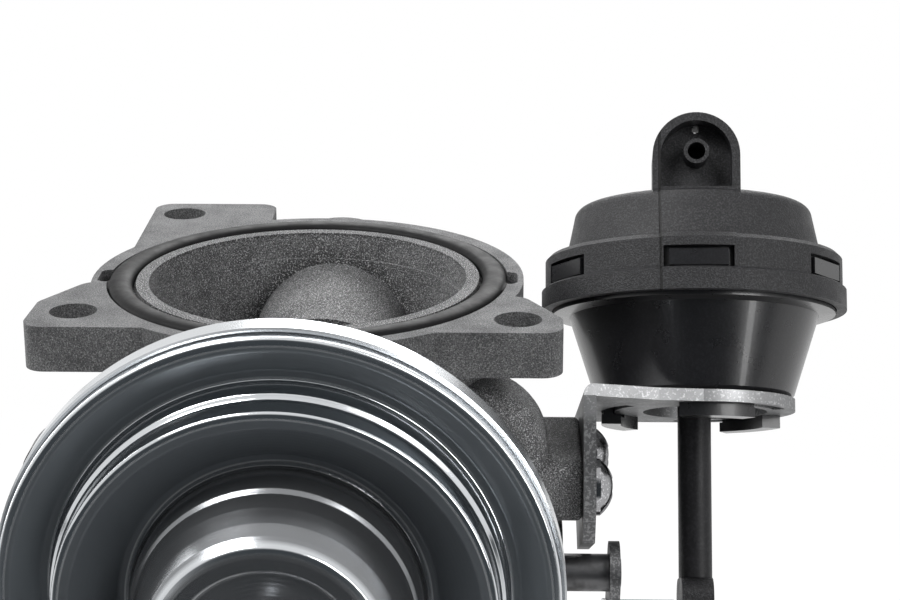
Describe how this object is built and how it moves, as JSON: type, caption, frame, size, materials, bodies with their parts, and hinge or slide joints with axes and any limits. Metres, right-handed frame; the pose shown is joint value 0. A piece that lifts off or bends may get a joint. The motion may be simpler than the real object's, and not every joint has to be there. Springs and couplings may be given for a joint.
{
  "type": "egr valve",
  "caption": "Vacuum exhaust gas recirculation valve on a cast intake elbow: eared manifold flange, chromed diaphragm can, poppet, and throttle flap worked by a bracketed vacuum actuator",
  "frame": {"origin": "Centre of the air bore on the manifold face of the flange", "axes": "+Z out of the manifold face along the air bore; +Y along the gas valve's axis towards the gas inlet flange, so the diaphragm can is at -Y; +X towards the throttle's vacuum actuator"},
  "size_m": [0.1457, 0.1734, 0.1408],
  "materials": {
    "casting": "rough as-cast skin, darkened",
    "black_rubber": "moulded, matt",
    "hard_steel": "ground and drawn steel",
    "bronze": "sintered bearing bronze",
    "fibre_gasket": "pressed fibre sheet",
    "can_chrome": "bright chromed pressing",
    "zinc_steel": "zinc plated pressed steel",
    "screw_steel": "bright plated",
    "gloss_black": "glossy black moulding",
    "matte_black": "matt black moulding",
    "rod_black": "satin black coated steel",
    "brass_plate": "rolled brass sheet"
  },
  "bodies": {
    "valve_body": {"housing": "casting", "manifold_seal": "black_rubber", "egr_seat_ring": "hard_steel", "stem_guide": "bronze", "stem_seal": "hard_steel", "can_gasket": "fibre_gasket", "can_base_plate": "zinc_steel", "can_rear_shell": "can_chrome", "can_crimp_ring": "can_chrome", "can_front_cover": "can_chrome", "can_nipple": "can_chrome", "can_screws": "zinc_steel", "shaft_bush_right": "bronze", "shaft_bush_left": "bronze", "shaft_seal": "black_rubber", "shaft_plug": "zinc_steel", "actuator_bracket": "zinc_steel", "bracket_screws": "screw_steel", "actuator_lower_housing": "gloss_black", "actuator_cap": "matte_black"},
    "gas_valve": {"egr_poppet": "hard_steel", "egr_stem": "hard_steel", "diaphragm_plate_rear": "zinc_steel", "egr_diaphragm": "black_rubber", "diaphragm_plate_front": "zinc_steel", "stem_nut": "zinc_steel", "egr_spring": "hard_steel"},
    "throttle_flap": {"throttle_shaft": "hard_steel", "throttle_plate": "brass_plate", "throttle_screws": "zinc_steel", "throttle_lever": "zinc_steel", "lever_pin": "hard_steel"},
    "actuator_rod_group": {"rod_eye": "matte_black", "actuator_rod": "rod_black", "actuator_diaphragm": "black_rubber", "actuator_piston": "matte_black", "rod_washer": "zinc_steel", "actuator_spring": "hard_steel"}
  },
  "joints": [
    {"name": "gas_valve_lift", "type": "slide", "parent": "valve_body", "child": "gas_valve", "axis": [0, -1, 0], "range_m": [0, 0.008], "stiffness_N_per_m": 2500, "springref_m": -0.012, "deforming": ["egr_spring", "egr_diaphragm"]},
    {"name": "actuator_pull", "type": "slide", "parent": "valve_body", "child": "actuator_rod_group", "axis": [0, 0.454, 0.891], "range_m": [0, 0.01472], "stiffness_N_per_m": 600, "springref_m": -0.015, "deforming": ["actuator_spring", "actuator_diaphragm"]},
    {"name": "throttle_turn", "type": "hinge", "parent": "valve_body", "child": "throttle_flap", "pos_m": [0, -0.01394, -0.05135], "axis": [1, 0, 0], "range_deg": [0, 84]}
  ],
  "couplings": [
    {"joint": "throttle_turn", "follows": "actuator_pull", "rad_per_m": 99.591}
  ]
}
